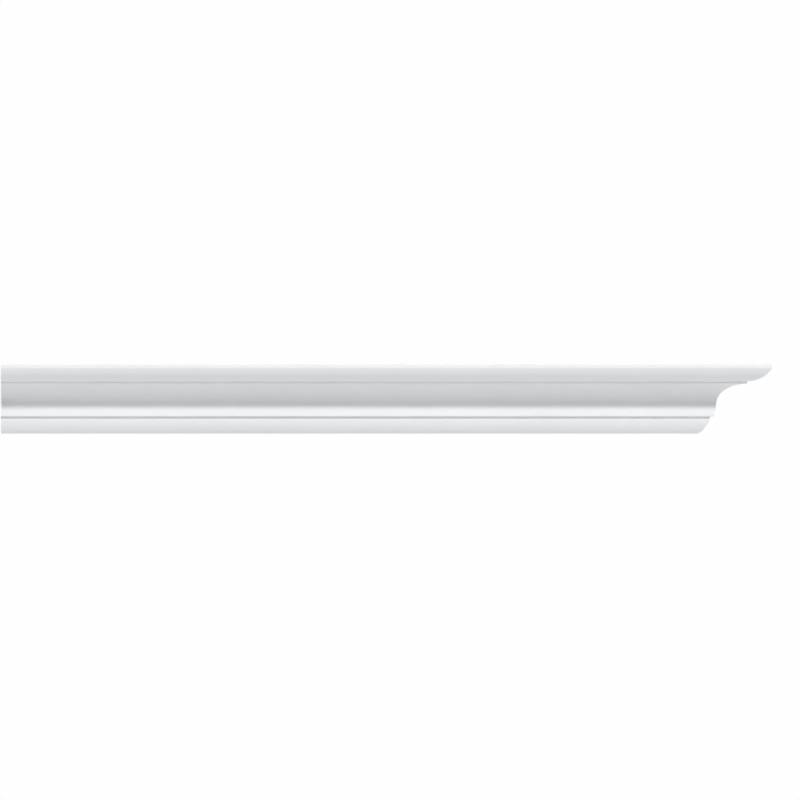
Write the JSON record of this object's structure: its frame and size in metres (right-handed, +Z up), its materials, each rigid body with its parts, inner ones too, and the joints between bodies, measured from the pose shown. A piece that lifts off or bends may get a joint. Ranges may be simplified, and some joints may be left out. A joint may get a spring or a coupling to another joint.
{
  "type": "cornice moulding length",
  "caption": "Straight length of white cornice for a wall and ceiling corner, with ovolo, cove and fascia, cut square at one end and mitred for an outside corner at the other.",
  "frame": {"origin": "the middle of the flat on the back that meets the wall: half-way up that flat and half-way along the back edge", "axes": "+X along the moulding towards its mitred end, +Y into the wall (the shaped face looks along -Y), +Z up towards the ceiling"},
  "size_m": [1, 0.105, 0.09],
  "materials": {
    "primed_white": "smooth white priming coat with a satin sheen on rigid foam"
  },
  "bodies": {
    "root": {"cornice_length": "primed_white"}
  },
  "joints": []
}
